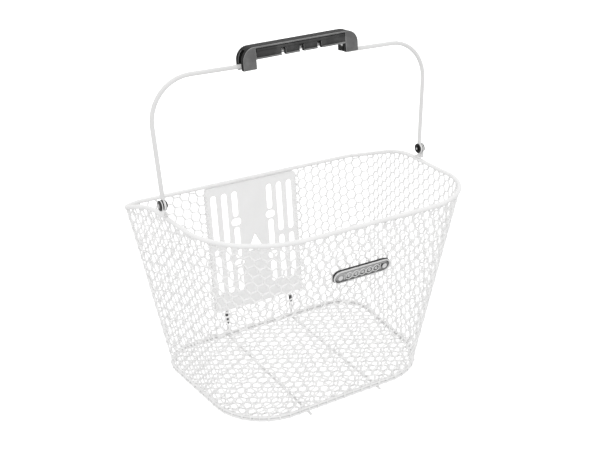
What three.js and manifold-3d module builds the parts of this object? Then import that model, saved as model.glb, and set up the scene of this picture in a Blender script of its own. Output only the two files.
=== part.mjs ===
// A bicycle front basket: honeycomb wire netting on a wire frame, a slotted mounting
// plate at the back, a badge at the front and a bail handle that folds both ways.
// Millimetres, +Z up, +Y to the back (the plate), +X along the front wall.
// The origin is on the ground under the middle of the basket.

import * as THREE from 'three';
import { mergeVertices } from 'three/addons/utils/BufferGeometryUtils.js';
import Module from 'manifold-3d';

const wasm = await Module();
wasm.setup();

// ---------------------------------------------------------------- driving dimensions

const GAP = 0.3; // air left between pieces that touch

// Plans of the two rings, by their wire's centre line
const RIM = { backHalf: 176.3, frontHalf: 159.5, back: 132.2, front: -132.2, backRadius: 28, frontRadius: 90 };
const BASE = { backHalf: 146.2, frontHalf: 130.3, back: 115.5, front: -84.4, backRadius: 39, frontRadius: 68 };

// Heights of the rim's centre line: low at the back, level at the sides, rising to the front
const RIM_BACK_HEIGHT = 210.8;
const RIM_SIDE_HEIGHT = 239.6;
const RIM_RISE_LENGTH = 115;
const RIM_RISE_POWER = 0.77;
const RIM_FRONT_START = -39.5;
const RIM_FRONT_SLOPE = 0.04;

const RIM_WIRE = 2.5; // radii of the wires
const RING_WIRE = 1.7;
const SUPPORT_WIRE = 1.5;
const BAIL_WIRE = 2.25;

const SUPPORT_HEIGHT = SUPPORT_WIRE;
const BASE_RING_HEIGHT = SUPPORT_HEIGHT + SUPPORT_WIRE + GAP + RING_WIRE;
const LOWER_RING_HEIGHT = BASE_RING_HEIGHT + 2 * RING_WIRE + GAP;

const NETTING = 2.4; // thickness of the netting's envelope

const SUPPORT_HALF_SPACING = 48.2;
const SUPPORT_NUB = 4.7; // how far the support wires stick out past the front ring
const SUPPORT_BEND = 4;
const SUPPORT_TOP = 52;
const SUPPORT_BEHIND_WALL = 3.9;
const SLEEVE_FROM = 18;
const SLEEVE_TO = 34;
const SLEEVE_OUTER = 2.2;
const SLEEVE_INNER = SUPPORT_WIRE + GAP;

const PLATE = { halfWidth: 65.2, bottom: 31.3, top: 199.5, sheet: 1.5, flange: 3, corner: 4 };
const SLOT = { width: 8, bottom: 54.5, top: 189, columns: [24.8, 39.5, 54.3] };
const OUTER_BRIDGE = { middle: 119.7, width: 5.5 };
const OVAL = { width: 14, height: 9.5, levels: [148.5, 92.3], bridge: 2.2 };
const ARROW = { base: 103.7, apex: 127.5, halfWidth: 12 };

const PIVOT = { x: 169, y: 6.8, z: 253.5 };
const EAR = { inside: 2.4, sheet: 1.2, halfWidth: 5.5, hole: 2.9 };
const BOLT = { shaft: 2.5, head: 5.8, headHeight: 1.7, inside: 3.7 };
const NUT = { radius: 3.6, height: 1.3, hole: 2.85 };
const WASHER = { radius: 5.9, hole: 2.9, sheet: 0.6 };

const BAIL = { lean: 2.16, halfWidth: 175.5, top: 133.5, corner: 46, eye: 6, eyeSheet: 2.4, eyeHole: 2.58 };
const BUMP = { from: 67, to: 56, rise: 11.5 }; // the wire steps up inside the grip

const GRIP = { halfLength: 72.2, legWidth: 16, bottom: 131.3, top: 155, bar: 13.5, depth: 17, corner: 14 };
const GRIP_SEAT = { tilt: 1.8, shift: 2.5 }; // the grip sits a little askew on the wire, in degrees and mm
const CHANNEL = { width: 6.6, roof: 3 };
const NOTCH = { spacing: 22.5, width: 5, height: 7.5 }; // in the front wall only
const PANEL = { recess: 0.8, margin: 1.6 };

const BADGE = { x: -5, height: 182.6, length: 71, width: 15, sheet: 1.8, rim: 1.3, recess: 0.7, rivets: 56 };
const GASKET = { sheet: 1.6, grow: 0.4 };
const BACKING = { length: 66, width: 10, sheet: 1.2 };
const RIVET = { shaft: 1.4, hole: 1.7, head: 3, headHeight: 1, tail: 2.4 };

// ---------------------------------------------------------------- materials

function material(color, roughness, metalness) {
  return new THREE.MeshStandardMaterial({ color, roughness, metalness });
}

const whiteCoat = material('#f1f1ef', 0.38, 0.0);
const whiteNetting = material('#efefed', 0.42, 0.0);
const whiteSheet = material('#ebebe9', 0.45, 0.0);
const blackPlastic = material('#3a3a3b', 0.6, 0.0);
const blackRubber = material('#202021', 0.75, 0.0);
const pewter = material('#9a9a98', 0.32, 0.9);
const darkSteel = material('#55565a', 0.22, 1.0);

const basket = new THREE.Group();

function add(name, geometry, look, parent = basket) {
  const mesh = new THREE.Mesh(geometry, look);
  mesh.name = name;
  parent.add(mesh);
  return mesh;
}

// ---------------------------------------------------------------- solid helpers

function solid(geometry) {
  const bare = geometry.clone();
  bare.deleteAttribute('normal');
  bare.deleteAttribute('uv');
  const merged = mergeVertices(bare, 1e-4);
  return new wasm.Manifold(new wasm.Mesh({
    numProp: 3,
    vertProperties: new Float32Array(merged.attributes.position.array),
    triVerts: new Uint32Array(merged.index.array),
  }));
}

function geometryOf(manifold) {
  const mesh = manifold.getMesh();
  const geometry = new THREE.BufferGeometry();
  geometry.setAttribute('position', new THREE.BufferAttribute(new Float32Array(mesh.vertProperties), 3));
  geometry.setIndex(new THREE.BufferAttribute(new Uint32Array(mesh.triVerts), 1));
  return geometry;
}

function cut(geometry, ...tools) {
  const whole = tools.reduce((body, tool) => body.subtract(solid(tool)), solid(geometry));
  return geometryOf(whole);
}

function join(...geometries) {
  const [first, ...rest] = geometries.map(solid);
  return geometryOf(rest.reduce((body, piece) => body.add(piece), first));
}

function signedVolume(positions, index) {
  const corner = (i) => new THREE.Vector3().fromArray(positions, 3 * index[i]);
  let volume = 0;
  for (let i = 0; i < index.length; i += 3) {
    volume += corner(i).dot(corner(i + 1).cross(corner(i + 2))) / 6;
  }
  return volume;
}

// A body through a row of loops that all have the same number of points.
function loft(loops, closed) {
  const sides = loops[0].length;
  const positions = loops.flat().flatMap((p) => [p.x, p.y, p.z]);
  const index = [];
  const spans = closed ? loops.length : loops.length - 1;
  for (let i = 0; i < spans; i += 1) {
    const here = i * sides;
    const there = ((i + 1) % loops.length) * sides;
    for (let j = 0; j < sides; j += 1) {
      const k = (j + 1) % sides;
      index.push(here + j, here + k, there + k, here + j, there + k, there + j);
    }
  }
  if (!closed) {
    const last = (loops.length - 1) * sides;
    for (let j = 1; j < sides - 1; j += 1) {
      index.push(0, j + 1, j, last, last + j, last + j + 1);
    }
  }
  if (signedVolume(positions, index) < 0) index.reverse();
  const geometry = new THREE.BufferGeometry();
  geometry.setAttribute('position', new THREE.Float32BufferAttribute(positions, 3));
  geometry.setIndex(index);
  return geometry;
}

// A round wire along a row of points, its flats at the wire's radius.
// `steady` is a direction the wire never runs along.
function wire(points, radius, sides, closed, steady) {
  const count = points.length;
  const reach = radius / Math.cos(Math.PI / sides);
  const loops = points.map((point, i) => {
    const before = points[closed ? (i + count - 1) % count : Math.max(i - 1, 0)];
    const after = points[closed ? (i + 1) % count : Math.min(i + 1, count - 1)];
    const along = after.clone().sub(before).normalize();
    const up = steady.clone().addScaledVector(along, -steady.dot(along)).normalize();
    const across = along.clone().cross(up);
    return Array.from({ length: sides }, (_, j) => {
      const angle = (2 * Math.PI * (j + 0.5)) / sides;
      return point.clone()
        .addScaledVector(up, reach * Math.cos(angle))
        .addScaledVector(across, reach * Math.sin(angle));
    });
  });
  return loft(loops, closed);
}

// A disc or sleeve about the X axis, from x = from to x = to.
function turnedAboutX(profile, sides) {
  const geometry = new THREE.LatheGeometry(profile.map(([r, x]) => new THREE.Vector2(r, x)), sides);
  return geometry.rotateZ(-Math.PI / 2);
}

function cylinderAboutX(radius, from, to, sides) {
  const geometry = new THREE.CylinderGeometry(radius, radius, to - from, sides);
  return geometry.rotateZ(-Math.PI / 2).translate((from + to) / 2, 0, 0);
}

// A shape drawn in X (across) and Z (up), given a thickness from y = from to y = to.
function standing(shape, from, to, curveSegments) {
  const geometry = new THREE.ExtrudeGeometry(shape, { depth: to - from, bevelEnabled: false, curveSegments });
  return geometry.rotateX(Math.PI / 2).translate(0, to, 0);
}

function roundedBox(halfWidth, bottom, top, radius) {
  const shape = new THREE.Shape();
  shape.absarc(halfWidth - radius, bottom + radius, radius, -Math.PI / 2, 0);
  shape.absarc(halfWidth - radius, top - radius, radius, 0, Math.PI / 2);
  shape.absarc(radius - halfWidth, top - radius, radius, Math.PI / 2, Math.PI);
  shape.absarc(radius - halfWidth, bottom + radius, radius, Math.PI, 1.5 * Math.PI);
  return shape;
}

// ---------------------------------------------------------------- basket outline

function rimHeight(y) {
  const t = THREE.MathUtils.clamp((RIM.back - y) / RIM_RISE_LENGTH, 0, 1) ** RIM_RISE_POWER;
  const climb = (RIM_SIDE_HEIGHT - RIM_BACK_HEIGHT) * t * t * (3 - 2 * t);
  return RIM_BACK_HEIGHT + climb + RIM_FRONT_SLOPE * Math.max(0, RIM_FRONT_START - y);
}

function leftOf(direction) {
  return new THREE.Vector2(-direction.y, direction.x);
}

function straight(start, end) {
  const outward = leftOf(end.clone().sub(start).normalize()).negate();
  return {
    start,
    length: start.distanceTo(end),
    at: (t) => ({ point: start.clone().lerp(end, t), outward }),
  };
}

function rounded(tip, arriving, leaving, radius) {
  const turn = Math.acos(arriving.dot(leaving));
  const reach = radius * Math.tan(turn / 2);
  const start = tip.clone().addScaledVector(arriving, -reach);
  const centre = start.clone().addScaledVector(leftOf(arriving), radius);
  return {
    start,
    end: tip.clone().addScaledVector(leaving, reach),
    length: radius * turn,
    at: (t) => {
      const outward = leftOf(arriving).negate().rotateAround(new THREE.Vector2(), turn * t);
      return { point: centre.clone().addScaledVector(outward, radius), outward };
    },
  };
}

// The -X half of a ring's plan: back, back corner, side, front corner, front.
function halfPlan(plan) {
  const backTip = new THREE.Vector2(-plan.backHalf, plan.back);
  const frontTip = new THREE.Vector2(-plan.frontHalf, plan.front);
  const side = frontTip.clone().sub(backTip).normalize();
  const backCorner = rounded(backTip, new THREE.Vector2(-1, 0), side, plan.backRadius);
  const frontCorner = rounded(frontTip, side, new THREE.Vector2(1, 0), plan.frontRadius);
  return [
    straight(new THREE.Vector2(0, plan.back), backCorner.start),
    backCorner,
    straight(backCorner.end, frontCorner.start),
    frontCorner,
    straight(frontCorner.end, new THREE.Vector2(0, plan.front)),
  ];
}

const RIM_PIECES = halfPlan(RIM);
const BASE_PIECES = halfPlan(BASE);

function ringPath(pieces, steps, heightAt) {
  const half = [];
  pieces.forEach((piece, k) => {
    for (let i = 0; i < steps[k]; i += 1) half.push(piece.at(i / steps[k]).point);
  });
  half.push(pieces.at(-1).at(1).point);
  const other = half.slice(1, -1).reverse().map((p) => new THREE.Vector2(-p.x, p.y));
  return [...half, ...other].map((p) => new THREE.Vector3(p.x, p.y, heightAt(p.y)));
}

// ---------------------------------------------------------------- rings and wires

const UP = new THREE.Vector3(0, 0, 1);
const ALONG_X = new THREE.Vector3(1, 0, 0);
const ALONG_Y = new THREE.Vector3(0, 1, 0);

add('rim_ring', wire(ringPath(RIM_PIECES, [1, 5, 12, 9, 1], rimHeight), RIM_WIRE, 8, true, UP), whiteCoat);

const lowRing = (height) => wire(ringPath(BASE_PIECES, [1, 5, 1, 8, 1], () => height), RING_WIRE, 8, true, UP);
add('base_ring', lowRing(BASE_RING_HEIGHT), whiteCoat);
add('wall_lower_ring', lowRing(LOWER_RING_HEIGHT), whiteCoat);

const WALL_LEAN = Math.atan((RIM.back - BASE.back) / (RIM_BACK_HEIGHT - LOWER_RING_HEIGHT));
const wallBackY = (z) => BASE.back + (z - LOWER_RING_HEIGHT) * Math.tan(WALL_LEAN);

// Front nub, straight run under the floor, bend, and up the outside of the back wall
function supportPath(x) {
  const rise = SUPPORT_HEIGHT + SUPPORT_BEND;
  const backY = wallBackY(rise) + SUPPORT_BEHIND_WALL;
  const points = [new THREE.Vector3(x, BASE.front - SUPPORT_NUB, SUPPORT_HEIGHT)];
  const steps = 6;
  for (let i = 0; i <= steps; i += 1) {
    const angle = (i / steps) * (Math.PI / 2 - WALL_LEAN);
    const forward = backY - SUPPORT_BEND * (1 - Math.sin(angle));
    points.push(new THREE.Vector3(x, forward, SUPPORT_HEIGHT + SUPPORT_BEND * (1 - Math.cos(angle))));
  }
  points.push(new THREE.Vector3(x, wallBackY(SUPPORT_TOP) + SUPPORT_BEHIND_WALL, SUPPORT_TOP));
  return points;
}

function sleeve(x) {
  const tube = cut(
    cylinderAboutX(SLEEVE_OUTER, 0, SLEEVE_TO - SLEEVE_FROM, 12),
    cylinderAboutX(SLEEVE_INNER, -1, SLEEVE_TO - SLEEVE_FROM + 1, 12),
  );
  tube.rotateY(-Math.PI / 2).rotateX(-WALL_LEAN);
  return tube.translate(x, wallBackY(SLEEVE_FROM) + SUPPORT_BEHIND_WALL, SLEEVE_FROM);
}

for (const [side, sign] of [['left', -1], ['right', 1]]) {
  const x = sign * SUPPORT_HALF_SPACING;
  add(`support_wire_${side}`, wire(supportPath(x), SUPPORT_WIRE, 8, false, ALONG_X), whiteCoat);
  add(`support_sleeve_${side}`, sleeve(x), blackRubber);
}

// ---------------------------------------------------------------- netting

function wallSection(basePoint, rimPoint, outward) {
  const foot = new THREE.Vector3(basePoint.x, basePoint.y, LOWER_RING_HEIGHT);
  const head = new THREE.Vector3(rimPoint.x, rimPoint.y, rimHeight(rimPoint.y));
  const climb = head.z - foot.z;
  const low = foot.clone().lerp(head, (RING_WIRE + GAP) / climb);
  const high = foot.clone().lerp(head, 1 - (RIM_WIRE + GAP) / climb);
  const half = new THREE.Vector3(outward.x, outward.y, 0).multiplyScalar(NETTING / 2);
  return [low.clone().sub(half), low.clone().add(half), high.clone().add(half), high.clone().sub(half)];
}

// One stretch of wall over piece k of the outline, with half a gap at each end.
function wallPanel(k, steps) {
  const base = BASE_PIECES[k];
  const rim = RIM_PIECES[k];
  const trim = GAP / 2 / base.length;
  return loft(Array.from({ length: steps + 1 }, (_, i) => {
    const t = THREE.MathUtils.lerp(trim, 1 - trim, i / steps);
    return wallSection(base.at(t).point, rim.at(t).point, rim.at(t).outward);
  }), false);
}

// The flat wall below the plate
function belowPlate() {
  const shape = new THREE.Shape();
  const low = RING_WIRE + GAP;
  const high = PLATE.bottom - GAP;
  const half = PLATE.halfWidth;
  shape.moveTo(-half, low);
  shape.lineTo(half, low);
  shape.lineTo(half, high);
  shape.lineTo(-half, high);
  const panel = standing(shape, -NETTING / 2, NETTING / 2, 1).rotateX(-WALL_LEAN);
  return panel.translate(0, BASE.back, LOWER_RING_HEIGHT);
}

// The flat wall between the plate and the back corner
function backPanel() {
  const plateEdge = PLATE.halfWidth + GAP;
  return loft([0, 1].map((end) => {
    const [base, rim] = [BASE_PIECES[0], RIM_PIECES[0]].map((piece) => {
      const t = end ? 1 - GAP / 2 / piece.length : plateEdge / piece.length;
      return piece.at(t).point;
    });
    return wallSection(base, rim, new THREE.Vector2(0, 1));
  }), false);
}

function mirrored(geometry) {
  const copy = geometry.clone().scale(-1, 1, 1);
  copy.setIndex([...copy.index.array].reverse());
  return copy;
}

const FRONT_DROP = BASE.front - RIM.front;
const FRONT_CLIMB = rimHeight(RIM.front) - LOWER_RING_HEIGHT;
const FRONT_LEAN = Math.atan(FRONT_DROP / FRONT_CLIMB);

// The badge's own frame: z up the leaning front wall, -y outward, origin on the wall's middle plane
function onFrontWall(geometry) {
  geometry.rotateX(FRONT_LEAN);
  const y = BASE.front - BADGE.height * Math.sin(FRONT_LEAN);
  const z = LOWER_RING_HEIGHT + BADGE.height * Math.cos(FRONT_LEAN);
  return geometry.translate(BADGE.x, y, z);
}

function cylinderAboutY(radius, x, from, to, sides) {
  return new THREE.CylinderGeometry(radius, radius, to - from, sides).translate(x, (from + to) / 2, 0);
}

const RIVET_PLACES = [-BADGE.rivets / 2, BADGE.rivets / 2];
const rivetHoles = () => RIVET_PLACES.map((x) => cylinderAboutY(RIVET.hole, x, -20, 20, 10));

function frontPanel() {
  const whole = loft([0, 1].map((end) => {
    const sign = end ? 1 : -1;
    const [base, rim] = [BASE_PIECES[4], RIM_PIECES[4]].map((piece) => {
      const point = piece.at(GAP / 2 / piece.length).point;
      return new THREE.Vector2(-sign * point.x, point.y);
    });
    return wallSection(base, rim, new THREE.Vector2(0, -1));
  }), false);
  return cut(whole, ...rivetHoles().map(onFrontWall));
}

const sidePanels = {
  back: backPanel(),
  back_corner: wallPanel(1, 4),
  side: wallPanel(2, 10),
  front_corner: wallPanel(3, 8),
};
for (const [place, geometry] of Object.entries(sidePanels)) {
  add(`wall_netting_${place}_left`, geometry, whiteNetting);
  add(`wall_netting_${place}_right`, mirrored(geometry), whiteNetting);
}
add('wall_netting_front', frontPanel(), whiteNetting);
add('wall_netting_below_plate', belowPlate(), whiteNetting);

function floorNetting() {
  const inset = RING_WIRE + GAP;
  const outline = ringPath(BASE_PIECES, [1, 5, 1, 8, 1], () => 0);
  const middle = new THREE.Vector2(0, (BASE.back + BASE.front) / 2);
  const shrinkX = (BASE.backHalf - inset) / BASE.backHalf;
  const shrinkY = (BASE.back - middle.y - inset) / (BASE.back - middle.y);
  const points = outline.map((p) => new THREE.Vector2(p.x * shrinkX, middle.y + (p.y - middle.y) * shrinkY));
  const geometry = new THREE.ExtrudeGeometry(new THREE.Shape(points), { depth: NETTING, bevelEnabled: false });
  return geometry.translate(0, 0, BASE_RING_HEIGHT - NETTING / 2);
}
add('floor_netting', floorNetting(), whiteNetting);

// ---------------------------------------------------------------- mounting plate

function slotTool(x, bottom, top) {
  return standing(roundedBox(SLOT.width / 2, bottom, top, SLOT.width / 2 - 0.01), -5, 5, 2).translate(x, 0, 0);
}

function outerColumn(x) {
  const { middle, width } = OUTER_BRIDGE;
  return [slotTool(x, SLOT.bottom, middle - width / 2), slotTool(x, middle + width / 2, SLOT.top)];
}

function innerColumn(x) {
  const reach = OVAL.height / 2 + OVAL.bridge;
  const [upper, lower] = OVAL.levels;
  const ovals = OVAL.levels.map((level) => {
    const half = OVAL.height / 2;
    return standing(roundedBox(OVAL.width / 2, level - half, level + half, half - 0.01), -5, 5, 2)
      .translate(x, 0, 0);
  });
  return [
    slotTool(x, SLOT.bottom, lower - reach),
    slotTool(x, lower + reach, upper - reach),
    slotTool(x, upper + reach, SLOT.top),
    ...ovals,
  ];
}

function arrowTool() {
  const shape = new THREE.Shape([
    new THREE.Vector2(-ARROW.halfWidth, ARROW.base),
    new THREE.Vector2(ARROW.halfWidth, ARROW.base),
    new THREE.Vector2(0, ARROW.apex),
  ]);
  return standing(shape, -5, 5, 1);
}

// Lets a support wire into the tray through its bottom flange
function wireNotch(x) {
  const notch = new THREE.BoxGeometry(2 * (SUPPORT_WIRE + GAP), PLATE.flange, 3 * PLATE.sheet);
  return notch.translate(x, PLATE.sheet / 2 + PLATE.flange / 2, PLATE.bottom + PLATE.sheet / 2);
}

// A shallow tray, open to the back: y = 0 is the middle of its front sheet.
function mountingPlate() {
  const { halfWidth, bottom, top, sheet, flange, corner } = PLATE;
  const outer = standing(roundedBox(halfWidth, bottom, top, corner), -sheet / 2, flange, 2);
  const hollow = standing(
    roundedBox(halfWidth - sheet, bottom + sheet, top - sheet, corner - sheet),
    sheet / 2,
    flange + 1,
    2,
  );
  const [inner, ...others] = SLOT.columns;
  const tools = [-1, 1].flatMap((sign) => [
    ...innerColumn(sign * inner),
    ...others.flatMap((x) => outerColumn(sign * x)),
  ]);
  const notches = [-SUPPORT_HALF_SPACING, SUPPORT_HALF_SPACING].map(wireNotch);
  return cut(outer, hollow, ...tools, arrowTool(), ...notches);
}

const plateFrame = new THREE.Group();
plateFrame.position.set(0, BASE.back, LOWER_RING_HEIGHT);
plateFrame.rotation.x = -WALL_LEAN;
basket.add(plateFrame);
add('mounting_plate', mountingPlate(), whiteSheet, plateFrame);

// ---------------------------------------------------------------- badge

function badgeOutline(grow) {
  const half = BADGE.width / 2 + grow;
  return roundedBox(BADGE.length / 2 + grow, -half, half, half - 0.01);
}

function badge() {
  const back = -NETTING / 2 - GAP - GASKET.sheet - GAP;
  const front = back - BADGE.sheet;
  const body = standing(badgeOutline(0), front, back, 4);
  const tray = standing(badgeOutline(-BADGE.rim), front - 1, front + BADGE.recess, 4);
  return onFrontWall(cut(body, tray, ...rivetHoles()));
}

function badgeGasket() {
  const back = -NETTING / 2 - GAP;
  return onFrontWall(cut(standing(badgeOutline(GASKET.grow), back - GASKET.sheet, back, 4), ...rivetHoles()));
}

function badgeBacking() {
  const front = NETTING / 2 + GAP;
  const half = BACKING.width / 2;
  const strip = roundedBox(BACKING.length / 2, -half, half, half - 0.01);
  return onFrontWall(cut(standing(strip, front, front + BACKING.sheet, 3), ...rivetHoles()));
}

function rivet(x) {
  const tray = -NETTING / 2 - 2 * GAP - GASKET.sheet - BADGE.sheet + BADGE.recess;
  const tail = NETTING / 2 + GAP + BACKING.sheet + GAP;
  return onFrontWall(join(
    cylinderAboutY(RIVET.shaft, x, tray - GAP - 0.5, tail + 0.5, 10),
    cylinderAboutY(RIVET.head, x, tray - GAP - RIVET.headHeight, tray - GAP, 12),
    cylinderAboutY(RIVET.tail, x, tail, tail + RIVET.headHeight, 10),
  ));
}

add('badge_plate', badge(), pewter);
add('badge_gasket', badgeGasket(), blackRubber);
add('badge_backing_strip', badgeBacking(), whiteSheet);
RIVET_PLACES.forEach((x, i) => add(`badge_rivet_${['left', 'right'][i]}`, rivet(x), pewter));

// ---------------------------------------------------------------- pivots
// Each pivot is drawn about the origin with +x pointing out of the basket.

const SADDLE_BOTTOM = rimHeight(PIVOT.y) + RIM_WIRE + GAP - PIVOT.z;

function ear() {
  const shape = new THREE.Shape();
  shape.moveTo(SADDLE_BOTTOM, -EAR.halfWidth);
  shape.lineTo(0, -EAR.halfWidth);
  shape.absarc(0, 0, EAR.halfWidth, -Math.PI / 2, Math.PI / 2);
  shape.lineTo(SADDLE_BOTTOM, EAR.halfWidth);
  const hole = new THREE.Path();
  hole.absarc(0, 0, EAR.hole, 0, 2 * Math.PI);
  shape.holes.push(hole);
  const flat = new THREE.ExtrudeGeometry(shape, { depth: EAR.sheet, bevelEnabled: false, curveSegments: 8 });
  flat.rotateY(-Math.PI / 2);
  return flat.translate(EAR.inside + EAR.sheet, 0, 0);
}

function bracket() {
  const width = 2 * (EAR.inside + EAR.sheet);
  const saddle = new THREE.BoxGeometry(width, 2 * EAR.halfWidth, EAR.sheet);
  saddle.translate(0, 0, SADDLE_BOTTOM + EAR.sheet / 2);
  return join(saddle, ear());
}

function bolt() {
  const face = EAR.inside + EAR.sheet + GAP;
  const tip = face + BOLT.headHeight;
  return turnedAboutX([
    [0, -BOLT.inside],
    [BOLT.shaft - 0.5, -BOLT.inside],
    [BOLT.shaft, 0.5 - BOLT.inside],
    [BOLT.shaft, face],
    [BOLT.head, face],
    [BOLT.head, face + 0.7],
    [BOLT.head * 0.86, tip - 0.5],
    [BOLT.head * 0.55, tip - 0.15],
    [0, tip],
  ], 24);
}

function nut() {
  const face = -BAIL.eyeSheet / 2 - WASHER.sheet - 2 * GAP;
  const hexagon = cylinderAboutX(NUT.radius, face - NUT.height, face, 6);
  return cut(hexagon, cylinderAboutX(NUT.hole, face - NUT.height - 1, face + 1, 12));
}

function washer(sign) {
  const near = BAIL.eyeSheet / 2 + GAP;
  const [from, to] = sign > 0 ? [near, near + WASHER.sheet] : [-near - WASHER.sheet, -near];
  return cut(cylinderAboutX(WASHER.radius, from, to, 16), cylinderAboutX(WASHER.hole, from - 1, to + 1, 12));
}

for (const [side, sign] of [['left', -1], ['right', 1]]) {
  const pivot = new THREE.Group();
  pivot.position.set(sign * PIVOT.x, PIVOT.y, PIVOT.z);
  pivot.rotation.z = sign > 0 ? 0 : Math.PI;
  basket.add(pivot);
  add(`pivot_bracket_${side}`, bracket(), whiteCoat, pivot);
  add(`pivot_bolt_${side}`, bolt(), darkSteel, pivot);
  add(`pivot_nut_${side}`, nut(), darkSteel, pivot);
  add(`pivot_washer_outer_${side}`, washer(1), blackPlastic, pivot);
  add(`pivot_washer_inner_${side}`, washer(-1), blackPlastic, pivot);
}

// ---------------------------------------------------------------- bail handle
// Drawn upright about the pivot axis: x along the axis, z up the handle.

const bailFrame = new THREE.Group();
bailFrame.position.set(0, PIVOT.y, PIVOT.z);
bailFrame.rotation.x = -THREE.MathUtils.degToRad(BAIL.lean);
basket.add(bailFrame);

// The -X half of the wire, from the eye to the middle of the grip
function halfBail() {
  const arm = new THREE.Vector2(PIVOT.x - BAIL.halfWidth, BAIL.top).normalize();
  const tip = new THREE.Vector2(-BAIL.halfWidth, BAIL.top);
  const corner = rounded(
    new THREE.Vector2(tip.x, -tip.y),
    new THREE.Vector2(arm.x, -arm.y),
    new THREE.Vector2(1, 0),
    BAIL.corner,
  );
  const points = [new THREE.Vector3(-PIVOT.x + 3 * arm.x, 0, 3 * arm.y)];
  const steps = 10;
  for (let i = 0; i <= steps; i += 1) {
    const { point } = corner.at(i / steps);
    points.push(new THREE.Vector3(point.x, 0, -point.y));
  }
  const stepUps = 5;
  for (let i = 0; i <= stepUps; i += 1) {
    const t = i / stepUps;
    const x = THREE.MathUtils.lerp(-BUMP.from, -BUMP.to, t);
    points.push(new THREE.Vector3(x, 0, BAIL.top + BUMP.rise * t * t * (3 - 2 * t)));
  }
  return points;
}

function bailWire() {
  const half = halfBail();
  const other = half.map((p) => new THREE.Vector3(-p.x, 0, p.z)).reverse();
  const rod = wire([...half, ...other], BAIL_WIRE, 8, false, ALONG_Y);
  const [left, right] = [-PIVOT.x, PIVOT.x].map((x) => ({
    eye: cylinderAboutX(BAIL.eye, x - BAIL.eyeSheet / 2, x + BAIL.eyeSheet / 2, 20),
    hole: cylinderAboutX(BAIL.eyeHole, x - 5, x + 5, 24),
    trim: [-1, 1].map((sign) => {
      const slab = new THREE.BoxGeometry(3, 20, BAIL.eye + 8);
      return slab.translate(x + sign * (BAIL.eyeSheet / 2 + 1.5), 0, 0);
    }),
  }));
  const flattened = cut(rod, ...left.trim, ...right.trim);
  return cut(join(flattened, left.eye, right.eye), left.hole, right.hole);
}
add('bail_wire', bailWire(), whiteCoat, bailFrame);

function gripOutline() {
  const { halfLength, legWidth, bottom, top, bar, corner } = GRIP;
  const inner = halfLength - legWidth;
  const underside = top - bar;
  const shape = new THREE.Shape();
  shape.moveTo(-halfLength, bottom);
  shape.lineTo(-inner, bottom);
  shape.lineTo(-inner, underside);
  shape.lineTo(inner, underside);
  shape.lineTo(inner, bottom);
  shape.lineTo(halfLength, bottom);
  shape.absarc(halfLength - corner, top - corner, corner, 0, Math.PI / 2);
  shape.absarc(corner - halfLength, top - corner, corner, Math.PI / 2, Math.PI);
  return shape;
}

function grip() {
  const { halfLength, legWidth, bottom, top, bar, depth } = GRIP;
  const channelTop = top - CHANNEL.roof;
  const channel = new THREE.BoxGeometry(3 * halfLength, CHANNEL.width, channelTop - bottom + 1);
  channel.translate(0, 0, (channelTop + bottom - 1) / 2);
  const underside = top - bar;
  const notches = [-1, 0, 1].map((i) => {
    const notch = new THREE.BoxGeometry(NOTCH.width, depth, NOTCH.height + 1);
    return notch.translate(i * NOTCH.spacing, -depth / 2, underside + (NOTCH.height - 1) / 2);
  });
  const panelHalf = halfLength - legWidth;
  const panels = [-1, 1].map((sign) => {
    const recess = new THREE.BoxGeometry(2 * panelHalf, 2 * PANEL.recess, bar - 2 * PANEL.margin);
    return recess.translate(0, (sign * depth) / 2, top - bar / 2);
  });
  const straightGrip = cut(standing(gripOutline(), -depth / 2, depth / 2, 5), channel, ...notches, ...panels);
  const middle = (top + bottom) / 2;
  straightGrip.translate(0, 0, -middle).rotateY(-THREE.MathUtils.degToRad(GRIP_SEAT.tilt));
  return straightGrip.translate(GRIP_SEAT.shift, 0, middle);
}
add('handle_grip', grip(), blackPlastic, bailFrame);

export default basket;
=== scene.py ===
"""Looks of the bicycle front basket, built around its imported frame.

Every length below is in millimetres and is turned into metres by MM.
+Y is the back of the basket, where the mounting plate is, and +X runs along the plate.
"""

import itertools
import math

import bmesh
import bpy
import numpy as np
from mathutils import Matrix, Vector


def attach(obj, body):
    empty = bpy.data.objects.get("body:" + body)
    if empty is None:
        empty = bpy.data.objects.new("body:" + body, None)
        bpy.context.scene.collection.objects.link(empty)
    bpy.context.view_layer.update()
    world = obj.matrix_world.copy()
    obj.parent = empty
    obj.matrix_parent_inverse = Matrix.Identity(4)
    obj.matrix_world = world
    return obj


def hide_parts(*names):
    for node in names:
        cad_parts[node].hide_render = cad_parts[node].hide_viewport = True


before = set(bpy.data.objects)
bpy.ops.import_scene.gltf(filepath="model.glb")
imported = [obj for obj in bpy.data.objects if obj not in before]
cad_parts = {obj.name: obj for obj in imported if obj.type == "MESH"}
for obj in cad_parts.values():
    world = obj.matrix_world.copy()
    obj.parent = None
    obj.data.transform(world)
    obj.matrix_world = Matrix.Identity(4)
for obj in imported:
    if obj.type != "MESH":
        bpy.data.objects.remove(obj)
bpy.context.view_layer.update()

MM = 0.001

# ------------------------------------------------------------------ driving dimensions

RIM = dict(back_half=176.3, front_half=159.5, back=132.2, front=-132.2, back_radius=28, front_radius=90)
BASE = dict(back_half=146.2, front_half=130.3, back=115.5, front=-84.4, back_radius=39, front_radius=68)

RIM_BACK_HEIGHT = 210.8
RIM_SIDE_HEIGHT = 239.6
RIM_RISE_LENGTH = 115  # the stretch from the back over which the rim climbs
RIM_RISE_POWER = 0.77  # below one, the climb starts early
RIM_FRONT_START = -39.5  # from here forward the rim climbs again, by the slope
RIM_FRONT_SLOPE = 0.04

# Radii of the wires, and the heights of the two rings at the foot.
RIM_WIRE = 2.5
RING_WIRE = 1.7
SUPPORT_WIRE = 1.5
BASE_RING_HEIGHT = 5.0
LOWER_RING_HEIGHT = 8.7

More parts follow.
